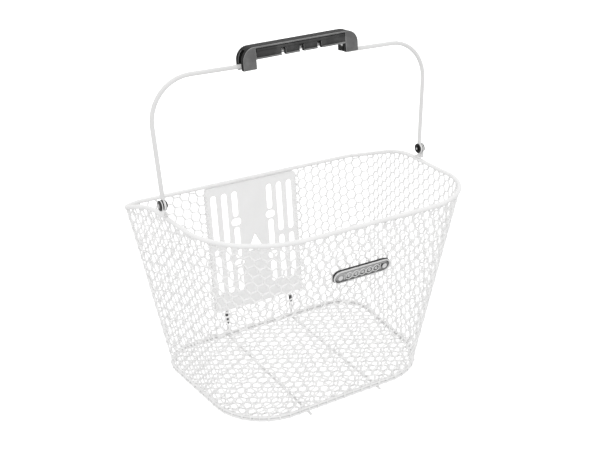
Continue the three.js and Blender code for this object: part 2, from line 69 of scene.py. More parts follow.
NET_PITCH = 12.2  # between the centres of neighbouring cells
NET_COLUMN = NET_PITCH * math.sqrt(3) / 2
NET_WIRE = 1.08
NET_SIDES = 5
TWIST = 0.6  # how far each strand of a twisted link lies from the link's middle
LOOP_WIRE = NET_WIRE * 0.6
LOOP_STEPS = 14

PLATE_HALF_WIDTH = 65.2
PLATE_BOTTOM = 31.3
PLATE_TOP = 199.5
WALL_LEAN = math.atan((RIM["back"] - BASE["back"]) / (RIM_BACK_HEIGHT - LOWER_RING_HEIGHT))

SUPPORT_HALF_SPACING = 48.2
SUPPORT_FRONT = BASE["front"] - 4.7
SUPPORT_BEND = 4
SUPPORT_TOP = 52
SUPPORT_BEHIND_WALL = 3.9

BADGE = dict(x=-5, height=182.6, half_length=35.5, half_width=7.5, rim=1.3, tray=-4.5)
RELIEF = dict(spacing=8.6, hexagons=(4.3, 1.3), wire=0.72, bar_x=22.6, bar_half=3.6, bar_wire=0.6, depth=0.35)

PIVOT = dict(x=169, y=6.8, z=253.5, outside=5.6, inside=3.7)
BAIL_LEAN = math.radians(2.16)

GRIP = dict(half_panel=56.2, bottom=131.3, top=155, bar=13.5, recess=7.7, margin=1.6)
GRIP_NOTCH = dict(spacing=22.5, half_width=3.0, height=7.5)
GRIP_CHANNEL = 6.6
GRIP_TILT = math.radians(1.8)
GRIP_SHIFT = 2.5

CAMERA = dict(azimuth=-30.62, elevation=23.51, roll=-0.93, distance=1036, lens=54.66)
CAMERA_TARGET = (-14.7, -14.3, 201.8)

# Brightness of the white room overhead, level and below. The light and the floor are in metres.
SKY_ABOVE = 1.12
SKY_LEVEL = 0.96
SKY_BELOW = 0.84
KEY_LIGHT = dict(place=(-0.7, -1.3, 1.9), aim=(0, 0, 0.2), size=0.8, power=3.5)
FLOOR = dict(half=8, level=0.9, glow=0.55)


# ------------------------------------------------------------------ camera

def make_camera():
    """The main view: from above the front left corner, with a slight roll."""
    azimuth, elevation, roll = (math.radians(CAMERA[name]) for name in ("azimuth", "elevation", "roll"))
    target = Vector(CAMERA_TARGET) * MM
    distance = CAMERA["distance"] * MM
    back = Vector((
        math.sin(azimuth) * math.cos(elevation),
        -math.cos(azimuth) * math.cos(elevation),
        math.sin(elevation),
    ))
    level = Vector((0, 0, 1)).cross(back).normalized()
    upright = back.cross(level)
    right = level * math.cos(roll) + upright * math.sin(roll)
    up = upright * math.cos(roll) - level * math.sin(roll)
    data = bpy.data.cameras.new("camera")
    data.sensor_width = 36
    data.lens = CAMERA["lens"]
    camera = bpy.data.objects.new("camera", data)
    turn = Matrix((right, up, back)).transposed().to_4x4()
    camera.matrix_world = Matrix.Translation(target + back * distance) @ turn
    bpy.context.scene.collection.objects.link(camera)
    bpy.context.scene.camera = camera


make_camera()


# ------------------------------------------------------------------ materials

PLASTIC_IOR = 1.18  # low, so that faces seen at a slant stay dark


class Shader:
    """A node material under construction: `add` makes a node and links or sets its inputs."""

    def __init__(self, name):
        self.material = bpy.data.materials.new(name)
        self.material.use_nodes = True
        self.tree = self.material.node_tree
        self.surface = self.tree.nodes["Principled BSDF"]
        self.place = self.add("ShaderNodeTexCoord").outputs["Object"]

    def add(self, kind, inputs=(), **settings):
        node = self.tree.nodes.new(kind)
        for key, value in settings.items():
            setattr(node, key, value)
        for key, value in dict(inputs).items():
            self.put(node.inputs[key], value)
        return node

    def put(self, socket, value):
        """Links a socket to another one, or sets it to a number or colour."""
        if isinstance(value, bpy.types.NodeSocket):
            self.tree.links.new(value, socket)
        else:
            socket.default_value = value

    def set(self, **inputs):
        for key, value in inputs.items():
            self.put(self.surface.inputs[key.replace("_", " ")], value)

    def noise(self, scale, detail=2.0, roughness=0.5):
        inputs = {"Vector": self.place, "Scale": scale, "Detail": detail, "Roughness": roughness}
        return self.add("ShaderNodeTexNoise", inputs).outputs["Fac"]

    def spread(self, value, low, high, start=0.3, end=0.7):
        """Maps value from start..end to low..high, clamped."""
        inputs = {"Value": value, "From Min": start, "From Max": end, "To Min": low, "To Max": high}
        return self.add("ShaderNodeMapRange", inputs).outputs["Result"]

    def blend(self, factor, first, second):
        """Mixes two colours. The mix node's colour sockets come after those for numbers and vectors."""
        node = self.add("ShaderNodeMix", data_type="RGBA")
        self.put(node.inputs[0], factor)
        self.put(node.inputs[6], first)
        self.put(node.inputs[7], second)
        return node.outputs[2]

    def bump(self, height, depth, strength=1.0):
        node = self.add("ShaderNodeBump", {"Height": height, "Distance": depth * MM, "Strength": strength})
        return node.outputs["Normal"]


def grey(level, warmth=0.0):
    """A grey colour, made slightly yellow by warmth."""
    return (level + warmth, level, level - warmth, 1)


def powder_coat(name, light, dark, roughness):
    """Thick white powder coat: a faint orange peel, with slightly darker patches."""
    shader = Shader(name)
    patches = shader.spread(shader.noise(38, 3), 0, 1, 0.35, 0.65)
    shader.set(Base_Color=shader.blend(patches, grey(light, 0.002), grey(dark, 0.002)))
    shader.set(Roughness=shader.spread(shader.noise(210, 2), roughness - 0.05, roughness + 0.07))
    peel = shader.add("ShaderNodeMath", {0: shader.noise(900, 2), 1: shader.noise(2600, 1)}, operation="ADD")
    shader.set(Normal=shader.bump(peel.outputs[0], 0.05, 0.5))
    shader.surface.inputs["Coat Weight"].default_value = 0.15
    shader.surface.inputs["Coat Roughness"].default_value = 0.2
    return shader.material


def moulded_plastic(name, light, dark, roughness, grain, shade=None, towards=(1, 0, 1)):
    """Moulded plastic with a fine spark-eroded grain and a little wear.

    shade is a level of painted shade for the faces that look along the axes which towards gives a weight:
    their colour is darkened as if they were turned away from the light.
    """
    shader = Shader(name)
    wear = shader.spread(shader.noise(60, 4, 0.6), 0, 1, 0.4, 0.72)
    colour = shader.blend(wear, grey(dark), grey(light))
    # Painted shade: faces that look along towards are mixed into the shade colour.
    if shade is not None:
        facing = shader.add("ShaderNodeTexCoord").outputs["Normal"]
        squares = shader.add("ShaderNodeVectorMath", {0: facing, 1: facing}, operation="MULTIPLY").outputs[0]
        share = shader.add("ShaderNodeVectorMath", {0: squares, 1: towards}, operation="DOT_PRODUCT")
        colour = shader.blend(shader.spread(share.outputs["Value"], 0, 1, 0.25, 0.7), colour, grey(shade))
    shader.set(Base_Color=colour)
    shader.set(Roughness=shader.spread(shader.noise(300, 3), roughness - 0.07, roughness + 0.08))
    shader.set(Normal=shader.bump(shader.noise(2400, 3, 0.7), grain, 0.8))
    shader.surface.inputs["IOR"].default_value = PLASTIC_IOR
    return shader.material


def rubber(name, dark, light):
    """Matt rubber with a powdery bloom."""
    shader = Shader(name)
    shader.set(Base_Color=shader.blend(shader.noise(400), grey(dark), grey(light)))
    shader.set(Roughness=shader.spread(shader.noise(800), 0.6, 0.8))
    shader.set(Normal=shader.bump(shader.noise(3000), 0.03))
    return shader.material


def polished_steel(name, level, roughness):
    """Dark polished steel with fine turning marks and small scuffs."""
    shader = Shader(name)
    shader.set(Base_Color=shader.blend(shader.noise(500, 3), grey(level * 0.75), grey(level)))
    shader.surface.inputs["Metallic"].default_value = 1.0
    shader.set(Roughness=shader.spread(shader.noise(1200, 4, 0.7), roughness, roughness + 0.14))
    shader.set(Normal=shader.bump(shader.noise(4000, 2), 0.01, 0.4))
    return shader.material


def pewter(name, level):
    """Cast and brushed silver metal: long fine scratches along X, darker in its patches."""
    shader = Shader(name)
    stretch = shader.add("ShaderNodeMapping", {"Vector": shader.place, "Scale": (60, 1600, 1600)})
    lines = shader.add("ShaderNodeTexNoise", {"Vector": stretch.outputs[0], "Scale": 1.0, "Detail": 3.0})
    shader.set(Base_Color=shader.blend(shader.noise(700, 3), grey(level * 0.72), grey(level)))
    shader.surface.inputs["Metallic"].default_value = 1.0
    shader.set(Roughness=shader.spread(lines.outputs["Fac"], 0.26, 0.44))
    shader.set(Normal=shader.bump(lines.outputs["Fac"], 0.03, 0.6))
    return shader.material


WIRE_COAT = powder_coat("white_wire_coat", 0.84, 0.81, 0.34)
NET_COAT = powder_coat("white_netting_coat", 0.92, 0.88, 0.42)
BAIL_COAT = powder_coat("white_bail_coat", 0.75, 0.72, 0.34)
SHEET_COAT = powder_coat("white_sheet_coat", 0.87, 0.85, 0.42)
# Painted shade: the grip's top and end faces are darkened in colour.
GRIP_PLASTIC = moulded_plastic("charcoal_grip_plastic", 0.2, 0.13, 0.5, 0.05, shade=0.015)
# Painted shade: near-black colour for the faces inside the grip's channel, where little light gets in.
GRIP_INSIDE_SHADE = moulded_plastic("charcoal_grip_inside_painted_shade", 0.02, 0.01, 0.6, 0.05)
# Painted highlight: the grip's rounded edges are lighter than its faces, with painted shade where they look
# along X.
GRIP_EDGE_HIGHLIGHT = moulded_plastic("charcoal_grip_edge_painted_highlight", 0.5, 0.3, 0.3, 0.02, shade=0.015, towards=(1.4, 0, 0))
GRIP_PANEL = moulded_plastic("charcoal_grip_panel", 0.105, 0.055, 0.55, 0.16)
# Painted shade: near-black layer that shows in the gap round each grip panel.
GRIP_GROOVE_SHADE = moulded_plastic("charcoal_grip_shadow_groove", 0.008, 0.004, 0.7, 0.02)
# Painted highlight: the mounting plate's rounded edges are whiter than its faces.
SHEET_EDGE_HIGHLIGHT = powder_coat("white_sheet_edge_painted_highlight", 0.95, 0.93, 0.3)
WASHER_PLASTIC = moulded_plastic("black_washer_plastic", 0.03, 0.018, 0.4, 0.02)
BLACK_RUBBER = rubber("black_rubber", 0.012, 0.03)
SLEEVE_RUBBER = rubber("grey_sleeve_rubber", 0.06, 0.14)
BADGE_METAL = pewter("badge_pewter", 0.86)
BADGE_FIELD = pewter("badge_dark_field", 0.46)
# Painted shadow: the near-black line in the groove inside the badge's rim.
BADGE_GROOVE_SHADOW = pewter("badge_groove_painted_shadow", 0.07)
DARK_STEEL = polished_steel("dark_polished_steel", 0.06, 0.2)
BRIGHT_STEEL = polished_steel("bright_steel", 0.62, 0.22)


# ------------------------------------------------------------------ mesh helpers

def finish_mesh(name, vertices, faces, material, body, slot, replaced=()):
    """Makes a piece out of vertices in millimetres and rides it on its body.

    faces is an array with one row per face, filled up with -1 where a face has fewer corners.
    """
    mesh = bpy.data.meshes.new(name)
    corners = [[v for v in face if v >= 0] for face in np.asarray(faces).tolist()]
    mesh.from_pydata((np.asarray(vertices, float) * MM).tolist(), [], corners)
    mesh.polygons.foreach_set("use_smooth", np.ones(len(mesh.polygons), bool))
    mesh.materials.append(material)
    mesh.update()
    piece = bpy.data.objects.new(name, mesh)
    bpy.context.scene.collection.objects.link(piece)
    return settle(piece, body, replaced)


def settle(piece, body, replaced=()):
    """Rides a piece on its body, and hides the CAD nodes it stands for."""
    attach(piece, body)
    if replaced:
        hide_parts(*replaced)
    return piece


def stacked(rings, closed=False):
    """A skin over rings of points: rings[i, j] is joined to its neighbours, and open ends get a cap."""
    count, sides = rings.shape[:2]
    i = np.arange(count if closed else count - 1)[:, None] * sides
    j = np.arange(sides)[None]
    k = (j + 1) % sides
    n = (i + sides) % (count * sides)
    quads = np.stack([i + j, i + k, n + k, n + j], -1).reshape(-1, 4)
    if closed:
        return rings.reshape(-1, 3), quads
    faces = np.full((len(quads) + 2, max(4, sides)), -1)
    faces[:-2, :4] = quads
    faces[-2, :sides] = j[0, ::-1]
    faces[-1, :sides] = (count - 1) * sides + j[0]
    return rings.reshape(-1, 3), faces


def tube(points, normals, radius, sides, closed):
    """A round wire along points. normals are never along the wire."""
    if closed:
        along = np.roll(points, -1, 0) - np.roll(points, 1, 0)
    else:
        along = np.gradient(points, axis=0)
    along /= np.linalg.norm(along, axis=1)[:, None]
    out = normals - along * (normals * along).sum(1)[:, None]
    out /= np.linalg.norm(out, axis=1)[:, None]
    across = np.cross(along, out)
    angle = 2 * np.pi * np.arange(sides) / sides
    cos, sin = np.cos(angle)[None, :, None], np.sin(angle)[None, :, None]
    ring = radius * (out[:, None] * cos + across[:, None] * sin)
    return stacked(points[:, None] + ring, closed)


def gather(parts):
    """Joins many (vertices, faces) into one."""
    width = max(f.shape[1] for _, f in parts)
    vertices, faces, start = [], [], 0
    for v, f in parts:
        wide = np.full((len(f), width), -1)
        wide[:, :f.shape[1]] = np.where(f < 0, -1, f + start)
        vertices.append(v)
        faces.append(wide)
        start += len(v)
    return np.concatenate(vertices), np.concatenate(faces)


def steady(direction, count):
    """The same direction, count times."""
    return np.tile(np.array(direction, float), (count, 1))


SAME_POINT = 0.02  # corners closer than this are one
FLAT_WITHIN = math.radians(2)
SHARP_FROM = math.radians(32)


def softened(node, width, material, body, edge=None, segments=2, inside=None):
    """A copy of a CAD node with its outer edges rounded, which stands for the node.

    edge is the material of the rounded edges, where it isn't that of the faces, and inside is that of the
    faces of a channel which look towards the plane through its middle, across y. A lighter edge material
    is painted highlight, and the near-black inside material is painted shade.
    """
    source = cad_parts[node]
    work = bmesh.new()
    work.from_mesh(source.data)
    bmesh.ops.remove_doubles(work, verts=work.verts, dist=SAME_POINT * MM)
    bmesh.ops.dissolve_limit(work, angle_limit=FLAT_WITHIN, verts=work.verts, edges=work.edges)
    weight = work.edges.layers.float.new("bevel_weight_edge")
    for line in work.edges:
        if line.is_manifold and line.calc_face_angle_signed() > SHARP_FROM:
            line[weight] = 1.0
    mesh = bpy.data.meshes.new(f"{node}_finished")
    work.to_mesh(mesh)
    work.free()
    mesh.materials.clear()
    mesh.materials.append(material)
    mesh.materials.append(edge or material)
    piece = bpy.data.objects.new(mesh.name, mesh)
    bpy.context.scene.collection.objects.link(piece)
    bevel = piece.modifiers.new("edges", "BEVEL")
    bevel.width = width * MM
    bevel.segments = segments
    bevel.limit_method = "WEIGHT"
    bevel.material = 1
    mesh.polygons.foreach_set("material_index", np.zeros(len(mesh.polygons), int))
    mesh.polygons.foreach_set("use_smooth", np.ones(len(mesh.polygons), bool))
    # Painted shade: faces inside the channel get the inside material.
    if inside:
        mesh.materials.append(inside)
        across = [vertex.co.y for vertex in mesh.vertices]
        middle = (min(across) + max(across)) / 2
        for face in mesh.polygons:
            if face.normal.y * (face.center.y - middle) < -MM:
                face.material_index = 2
    weighted = piece.modifiers.new("shading", "WEIGHTED_NORMAL")
    weighted.keep_sharp = False
    return settle(piece, body, (node,))


# ------------------------------------------------------------------ basket outline

def rim_height(y):
    """Height of the rim's middle: low at the back, level along the sides, rising again at the front."""
    t = np.clip((RIM["back"] - y) / RIM_RISE_LENGTH, 0, 1) ** RIM_RISE_POWER
    climb = (RIM_SIDE_HEIGHT - RIM_BACK_HEIGHT) * t * t * (3 - 2 * t)
    return RIM_BACK_HEIGHT + climb + RIM_FRONT_SLOPE * np.maximum(0, RIM_FRONT_START - y)


def rounded_corner(tip, arriving, leaving, radius, steps):
    """Points and outward normals of an arc that rounds the corner at tip, turning left."""
    turn = math.acos(float(arriving @ leaving))
    left = np.array([-arriving[1], arriving[0]])
    start = tip - arriving * radius * math.tan(turn / 2)
    centre = start + left * radius
    angle = turn * np.linspace(0, 1, steps)
    cos, sin = np.cos(angle), np.sin(angle)
    outward = np.stack([-left[0] * cos + left[1] * sin, -left[0] * sin - left[1] * cos], 1)
    return centre + outward * radius, outward


def ring_plan(plan, steps):
    """Closed plan of a ring from the middle of the back round by -X, and its outward normals."""
    back_tip = np.array([-plan["back_half"], plan["back"]])
    front_tip = np.array([-plan["front_half"], plan["front"]])
    side = (front_tip - back_tip) / np.linalg.norm(front_tip - back_tip)
    west, east = np.array([-1.0, 0]), np.array([1.0, 0])
    back_arc, back_out = rounded_corner(back_tip, west, side, plan["back_radius"], steps[1] + 1)
    front_arc, front_out = rounded_corner(front_tip, side, east, plan["front_radius"], steps[3] + 1)

    def line(start, end, count):
        t = np.linspace(0, 1, count, endpoint=False)[:, None]
        return start + (end - start) * t

    points = np.concatenate([
        line(np.array([0, plan["back"]]), back_arc[0], steps[0]),
        back_arc[:-1],
        line(back_arc[-1], front_arc[0], steps[2]),
        front_arc[:-1],
        line(front_arc[-1], np.array([0, plan["front"]]), steps[4]),
        np.array([[0, plan["front"]]]),
    ])
    outward = np.concatenate([
        np.tile(back_out[0], (steps[0], 1)),
        back_out[:-1],
        np.tile(back_out[-1], (steps[2], 1)),
        front_out[:-1],
        np.tile(front_out[-1], (steps[4] + 1, 1)),
    ])
    mirror = np.array([-1.0, 1.0])
    points = np.concatenate([points, points[1:-1][::-1] * mirror])
    outward = np.concatenate([outward, outward[1:-1][::-1] * mirror])
    return points, outward


# Steps along half the back, the back corner, the side, the front corner and half the front.
PLAN_STEPS = (20, 16, 40, 40, 14)
RULINGS = 720
RIM_PLAN, WALL_OUT = ring_plan(RIM, PLAN_STEPS)
BASE_PLAN, _ = ring_plan(BASE, PLAN_STEPS)


def wall_rulings():
    """Foot and head of straight lines up the wall, evenly spaced round it from the middle of the back."""
    middle = (RIM_PLAN + BASE_PLAN) / 2
    step = np.linalg.norm(np.roll(middle, -1, 0) - middle, axis=1)
    distance = np.concatenate([[0], np.cumsum(step)])
    share = np.linspace(0, distance[-1], RULINGS + 1)

    def read(values):
        looped = np.concatenate([values, values[:1]])
        return np.stack([np.interp(share, distance, looped[:, i]) for i in range(2)], -1)

    foot, head, out = read(BASE_PLAN), read(RIM_PLAN), read(WALL_OUT)
    foot = np.column_stack([foot, np.full(len(foot), LOWER_RING_HEIGHT)])
    head = np.column_stack([head, rim_height(head[:, 1])])
    out = np.column_stack([out, np.zeros(len(out))])
    return foot, head, out / np.linalg.norm(out, axis=1)[:, None]


FOOT, HEAD, OUTWARD = wall_rulings()


def to_the_right(low, high, from_low, from_high):
    """The flat point to the right of the line low-high, at these distances from its ends."""
    length = np.linalg.norm(high - low)
    along = (high - low) / length
    forward = (from_low ** 2 - from_high ** 2 + length ** 2) / (2 * length)
    sideways = math.sqrt(max(0, from_low ** 2 - forward ** 2))
    return low + along * forward + np.array([along[1], -along[0]]) * sideways


def flat_rulings():
    """The wall laid out flat, seen from outside, with the middle of the front upright at zero."""

    def apart(first, second):
        return float(np.linalg.norm(first - second))

    foot, head = [np.zeros(2)], [np.array([0, apart(FOOT[0], HEAD[0])])]
    for i in range(1, RULINGS + 1):
        to_foot, to_head = apart(FOOT[i], FOOT[i - 1]), apart(FOOT[i], HEAD[i - 1])
        foot.append(to_the_right(foot[-1], head[-1], to_foot, to_head))
        to_foot, to_head = apart(FOOT[i], HEAD[i]), apart(HEAD[i], HEAD[i - 1])
        head.append(to_the_right(foot[-1], head[-1], to_foot, to_head))
    foot, head = np.array(foot), np.array(head)
    front = RULINGS // 2
    up = (head[front] - foot[front]) / np.linalg.norm(head[front] - foot[front])
    turn = np.array([[up[1], up[0]], [-up[0], up[1]]])
    return (foot - foot[front]) @ turn, (head - foot[front]) @ turn


FLAT_FOOT, FLAT_HEAD = flat_rulings()


def wrapped(flat):
    """Where points of the flat sheet come to lie on the wall: ruling number, rise (0 foot, 1 rim)."""
    ruling = FLAT_HEAD - FLAT_FOOT

    def side(i):
        away = flat - FLAT_FOOT[i]
        return ruling[i, 0] * away[:, 1] - ruling[i, 1] * away[:, 0]

    low = np.zeros(len(flat), int)
    high = np.full(len(flat), RULINGS)
    while (high - low).max() > 1:
        middle = (low + high) // 2
        past = side(middle) < 0
        low = np.where(past, middle, low)
        high = np.where(past, high, middle)
    before, after = side(low), side(high)
    part = before / (before - after)
    place = low + np.where((before <= 0) & (after >= 0), part, np.nan)
    foot = FLAT_FOOT[low] + (FLAT_FOOT[high] - FLAT_FOOT[low]) * part[:, None]
    head = FLAT_HEAD[low] + (FLAT_HEAD[high] - FLAT_HEAD[low]) * part[:, None]
    rise = ((flat - foot) * (head - foot)).sum(1) / ((head - foot) ** 2).sum(1)
    return place, rise


def wall_point(place, rise):
    """Point of the wall's middle surface and its outward normal."""
    index = np.arange(RULINGS + 1)

    def read(values):
        return np.stack([np.interp(place, index, values[:, i]) for i in range(3)], -1)

    foot, head = read(FOOT), read(HEAD)
    return foot + (head - foot) * rise[:, None], read(OUTWARD)


# ------------------------------------------------------------------ netting

# In parts of a column: a twisted link fills 0.6 of it, and the wires slant over the rest, from SLANT_START
# past one column's middle.
HALF_LINK = 0.3
LINK_STATIONS = np.array([-1, -1 / 3, 1 / 3, 1]) * HALF_LINK
STATIONS = np.concatenate([LINK_STATIONS, [0.43, 0.57]])
SLANT_START = 0.27
SLANT_LENGTH = 0.46
SLANT_SPREAD = 0.3  # of the twist, by which the slanting wires stay off their middle

NET_TURN = math.radians(-1.6)  # of the wall's netting in the flat sheet, and how far it is shifted there
NET_SHIFT = np.array([-6.6, -10.8])


def wave(column):
    """0 at even columns and a half at odd ones, flat at the links and rounded between them."""
    before = np.floor(column)
    t = np.clip((column - before - SLANT_START) / SLANT_LENGTH, 0, 1)
    smooth = t * t * (3 - 2 * t)
    return np.where(before % 2 == 0, smooth, 1 - smooth) / 2


def strand(columns, family):
    """One wire at its stations: way along it, way across from its row, and way out of the netting.

    family is +1 for the wires whose odd columns are raised, -1 for those whose odd columns are lowered.
    """
    column = (columns[:, None] + STATIONS).ravel()
    even = np.round(column) % 2 == 0
    local = column - np.round(column)
    linked = np.abs(local) < HALF_LINK + 0.01
    angle = np.pi * (local + HALF_LINK) / HALF_LINK
    side = np.where(even, 1, -1) * family
    across = np.where(linked, np.cos(angle), SLANT_SPREAD) * side * TWIST
    out = np.where(linked, np.sin(angle), 0) * side * TWIST
    return column * NET_COLUMN, family * wave(column) * NET_PITCH + across, out


def wall_netting():
    """One flat sheet wrapped round the wall: its wires stand upright at the front and lean at the back."""
    low = min(FLAT_FOOT[:, 1].min(), FLAT_HEAD[:, 1].min())
    high = FLAT_HEAD[:, 1].max()
    reach = FLAT_HEAD[:, 0].max()
    columns = np.arange(int(low / NET_COLUMN) - 2, int(high / NET_COLUMN) + 3)
    rows = int(reach / NET_PITCH) + 3
    turn = np.array([[math.cos(NET_TURN), math.sin(NET_TURN)], [-math.sin(NET_TURN), math.cos(NET_TURN)]])
    parts, crossings = [], []
    for family in (1, -1):
        along, across, out = strand(columns, family)
        for row in range(-rows, rows + 1):
            flat = np.column_stack([across + row * NET_PITCH, along]) @ turn + NET_SHIFT
            place, rise = wrapped(flat)
            points, normal = wall_point(np.nan_to_num(place), rise)
            points = points + normal * out[:, None]
            outside = np.isnan(place) | (rise < 0) | (rise > 1)
            parts += runs(points, normal, outside | behind_plate(points))
            cut = (rise[:-1] < 0) & (rise[1:] >= 0) & ~np.isnan(place[1:])
            crossings += list(place[1:][cut])
    return gather([*parts, foot_loops(crossings), plate_loops()])


def oval(centre, first, second):
    """A closed loop of netting wire round centre, with the two half axes given."""
    angle = 2 * np.pi * np.arange(LOOP_STEPS) / LOOP_STEPS
    out = np.outer(np.cos(angle), first) + np.outer(np.sin(angle), second)
    return tube(centre + out, out, LOOP_WIRE, NET_SIDES, True)


def foot_loops(crossings):
    """The netting's ends, bent round both rings at the foot of the wall."""
    places = np.array(crossings)
    points, normals = wall_point(places, np.zeros(len(places)))
    up = np.array([0, 0, LOWER_RING_HEIGHT - BASE_RING_HEIGHT])
    half_width = RING_WIRE + 0.2
    return gather([
        oval(point - up / 2, normal * half_width, up / 2 * 1.95) for point, normal in zip(points, normals)
    ])


def plate_loops():
    """The netting's ends, bent round the side edges of the mounting plate."""
    up_wall = np.array([0, math.sin(WALL_LEAN), math.cos(WALL_LEAN)])
    out_wall = np.array([0, math.cos(WALL_LEAN), -math.sin(WALL_LEAN)])
    foot = np.array([0, BASE["back"], LOWER_RING_HEIGHT])
    sideways = np.array([2.6, 0, 0])
    outward = out_wall * 1.7 + up_wall * 1.2
    lowest, highest = PLATE_BOTTOM + 8, PLATE_TOP - 4
    parts = []
    for sign in (-1, 1):
        for height in np.arange(lowest, highest, NET_PITCH / 2):
            centre = foot + up_wall * height + np.array([sign * PLATE_HALF_WIDTH, 0, 0])
            parts.append(oval(centre, sideways, outward))
    return gather(parts)


def behind_plate(points):
    """True where the mounting plate takes the netting's place. It overlaps the netting by 1 mm."""
    along_wall = (points[:, 2] - LOWER_RING_HEIGHT) / math.cos(WALL_LEAN)
    at_back = points[:, 1] > BASE["back"] - 15.5
    return at_back & (np.abs(points[:, 0]) < PLATE_HALF_WIDTH - 1) & (along_wall > PLATE_BOTTOM + 1)


def runs(points, normal, hidden):
    """Tubes of the stretches of one wire that aren't hidden."""
    parts, run = [], []
    for i in range(len(points) + 1):
        if i < len(points) and not hidden[i]:
            run.append(i)
            continue
        if len(run) > 2:
            parts.append(tube(points[run], normal[run], NET_WIRE, NET_SIDES, False))
        run = []
    return parts


WALL_NODES = ["wall_netting_front", "wall_netting_below_plate"] + [
    f"wall_netting_{place}_{side}"
    for place in ("back", "back_corner", "side", "front_corner")
    for side in ("left", "right")
]
finish_mesh("wall_netting_woven", *wall_netting(), NET_COAT, "basket", "white_netting", WALL_NODES)


def inside_base(points, inset):
    """Which points lie inside the base ring's plan, by more than inset."""
    plan = BASE_PLAN
    edge = np.roll(plan, -1, 0) - plan
    length = np.linalg.norm(edge, axis=1)
    keep = length > 1e-6
    plan, edge, length = plan[keep], edge[keep], length[keep]
    relative = points[:, None, :2] - plan[None]
    distance = (edge[None, :, 0] * relative[..., 1] - edge[None, :, 1] * relative[..., 0]) / length
    return (distance > inset).all(1)


def floor_netting():
    """A flat sheet of the same netting, its rows along X, cut off at the base ring."""
    half_columns = int(BASE["back_half"] / NET_COLUMN) + 2
    columns = np.arange(-half_columns, half_columns + 1)
    middle = (BASE["back"] + BASE["front"]) / 2
    half_rows = int((BASE["back"] - middle) / NET_PITCH) + 2
    parts = []
    for family in (1, -1):
        along, across, out = strand(columns, family)
        for row in range(-half_rows, half_rows + 1):
            points = np.column_stack([along, middle + row * NET_PITCH + across, BASE_RING_HEIGHT + out])
            normal = steady((0, 0, 1), len(points))
            parts += runs(points, normal, ~inside_base(points, 0.3))
    return gather(parts)


finish_mesh("floor_netting_woven", *floor_netting(), NET_COAT, "basket", "white_netting", ["floor_netting"])


# ------------------------------------------------------------------ rings and support wires

WIRE_SIDES = 14
BEND_STEPS = 9


def ring(plan, heights, radius):
    """A closed wire over a plan. Plan points that fall together are taken once."""
    points = np.column_stack([plan, heights])
    keep = np.linalg.norm(points - np.roll(points, 1, 0), axis=1) > 0.01
    return tube(points[keep], steady((0, 0, 1), keep.sum()), radius, WIRE_SIDES, True)


finish_mesh("rim_wire", *ring(RIM_PLAN, rim_height(RIM_PLAN[:, 1]), RIM_WIRE),
            WIRE_COAT, "basket", "white_wire", ["rim_ring"])
for name, node, level in (
    ("base_wire", "base_ring", BASE_RING_HEIGHT),
    ("wall_foot_wire", "wall_lower_ring", LOWER_RING_HEIGHT),
):
    finish_mesh(name, *ring(BASE_PLAN, np.full(len(BASE_PLAN), level), RING_WIRE),
                WIRE_COAT, "basket", "white_wire", [node])


def wall_back_y(z):
    """How far back the back wall is at a height."""
    return BASE["back"] + (z - LOWER_RING_HEIGHT) * math.tan(WALL_LEAN)


def support_wire(x):
    """Front nub, straight run under the floor, bend, and up behind the plate."""
    back = wall_back_y(SUPPORT_WIRE + SUPPORT_BEND) + SUPPORT_BEHIND_WALL
    angle = np.linspace(0, math.pi / 2 - WALL_LEAN, BEND_STEPS)
    bend = np.column_stack([
        np.full(BEND_STEPS, x),
        back - SUPPORT_BEND * (1 - np.sin(angle)),
        SUPPORT_WIRE + SUPPORT_BEND * (1 - np.cos(angle)),
    ])
    start = np.array([[x, SUPPORT_FRONT, SUPPORT_WIRE]])
    end = np.array([[x, wall_back_y(SUPPORT_TOP) + SUPPORT_BEHIND_WALL, SUPPORT_TOP]])
    points = np.concatenate([start, bend, end])
    return tube(points, steady((1, 0, 0), len(points)), SUPPORT_WIRE, WIRE_SIDES, False)


for side, sign in (("left", -1), ("right", 1)):
    finish_mesh(f"floor_support_{side}", *support_wire(sign * SUPPORT_HALF_SPACING),
                WIRE_COAT, "basket", "white_wire", [f"support_wire_{side}"])


# ------------------------------------------------------------------ pieces finished from the CAD

# Painted highlight on the plate's rounded edges, by the whiter edge material.
softened("mounting_plate", 0.45, SHEET_COAT, "basket", edge=SHEET_EDGE_HIGHLIGHT)
# Painted highlight on the grip's rounded edges, painted shade inside its channel.
softened("handle_grip", 0.8, GRIP_PLASTIC, "bail", edge=GRIP_EDGE_HIGHLIGHT, segments=3,
         inside=GRIP_INSIDE_SHADE)
softened("bail_wire", 0.3, BAIL_COAT, "bail")
softened("badge_plate", 0.25, BADGE_METAL, "basket")
softened("badge_gasket", 0.3, BLACK_RUBBER, "basket")
softened("badge_backing_strip", 0.2, SHEET_COAT, "basket")
for side in ("left", "right"):
    softened(f"badge_rivet_{side}", 0.3, BADGE_METAL, "basket")
    softened(f"pivot_bracket_{side}", 0.35, WIRE_COAT, "basket")
    softened(f"pivot_bolt_{side}", 0.25, DARK_STEEL, "basket")
    softened(f"pivot_nut_{side}", 0.3, DARK_STEEL, "basket")
    softened(f"pivot_washer_outer_{side}", 0.2, WASHER_PLASTIC, "basket")
    softened(f"pivot_washer_inner_{side}", 0.2, WASHER_PLASTIC, "basket")
    softened(f"support_sleeve_{side}", 0.15, SLEEVE_RUBBER, "basket")


# ------------------------------------------------------------------ small pieces and reliefs

FRONT_CLIMB = float(rim_height(RIM["front"])) - LOWER_RING_HEIGHT
FRONT_LEAN = math.atan((BASE["front"] - RIM["front"]) / FRONT_CLIMB)


def tilted(points, angle, origin):
    """Points turned about X by angle and moved to origin."""
    points = np.asarray(points, float)
    y = points[:, 1] * math.cos(angle) - points[:, 2] * math.sin(angle)
    z = points[:, 1] * math.sin(angle) + points[:, 2] * math.cos(angle)
    return np.column_stack([points[:, 0], y, z]) + np.array(origin)


